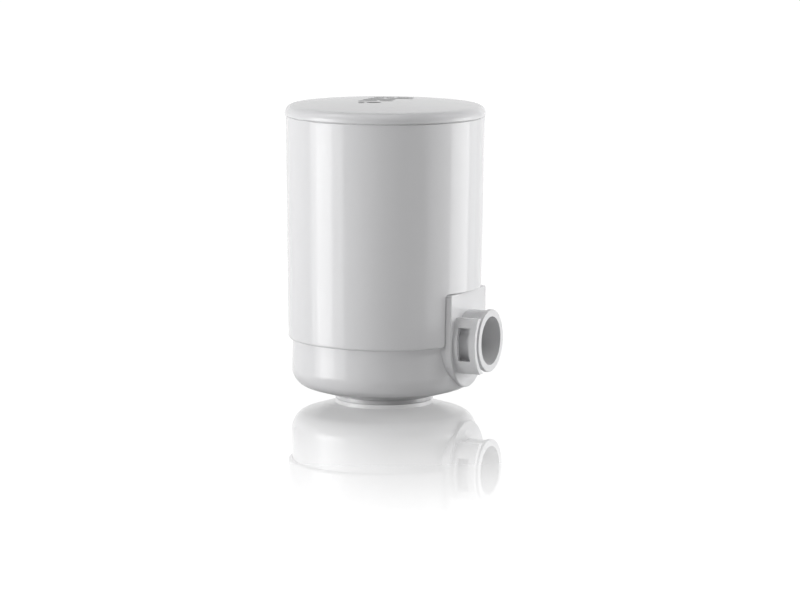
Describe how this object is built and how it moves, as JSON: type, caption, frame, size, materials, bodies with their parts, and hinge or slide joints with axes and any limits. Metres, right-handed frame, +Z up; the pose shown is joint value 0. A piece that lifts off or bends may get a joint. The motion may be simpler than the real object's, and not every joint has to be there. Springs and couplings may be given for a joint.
{
  "type": "faucet water filter",
  "caption": "Side-fed replaceable water filter cartridge for a tap: carbon block in a pressure cup with inlet tube and outlet grid, inside a white casing with a low domed cover.",
  "frame": {"origin": "centre of the foot's underside, on the body's axis, where the water leaves", "axes": "+Z up along the body's axis, +X out along the inlet tube, +Y to the side away from the collar"},
  "size_m": [0.0723, 0.067, 0.1003],
  "materials": {
    "casing_white": "white, glossy, moulded",
    "cup_white": "white, glossy, moulded",
    "outlet_white": "white, satin gloss, moulded",
    "inner_natural": "natural, milky, matt",
    "net_white": "white, extruded net",
    "seal_black": "black, matt",
    "carbon_black": "dull, fine-grained pressed carbon",
    "fleece_white": "soft non-woven fleece",
    "glue_amber": "hot-melt glue, cloudy",
    "mesh_steel": "woven stainless wire"
  },
  "bodies": {
    "root": {"filter_cup": "cup_white", "outer_sleeve": "casing_white", "top_cover": "casing_white", "pressure_cap": "inner_natural", "cap_o_ring": "seal_black", "top_end_cap": "inner_natural", "top_adhesive": "glue_amber", "carbon_block": "carbon_black", "prefilter_fleece": "fleece_white", "outer_net": "net_white", "core_fleece": "fleece_white", "core_tube": "inner_natural", "bottom_adhesive": "glue_amber", "bottom_end_cap": "inner_natural", "nipple_o_ring_upper": "seal_black", "nipple_o_ring_lower": "seal_black", "strainer_frame": "outlet_white", "strainer_mesh": "mesh_steel", "outlet_grid": "outlet_white", "outlet_ring": "outlet_white"}
  },
  "joints": []
}
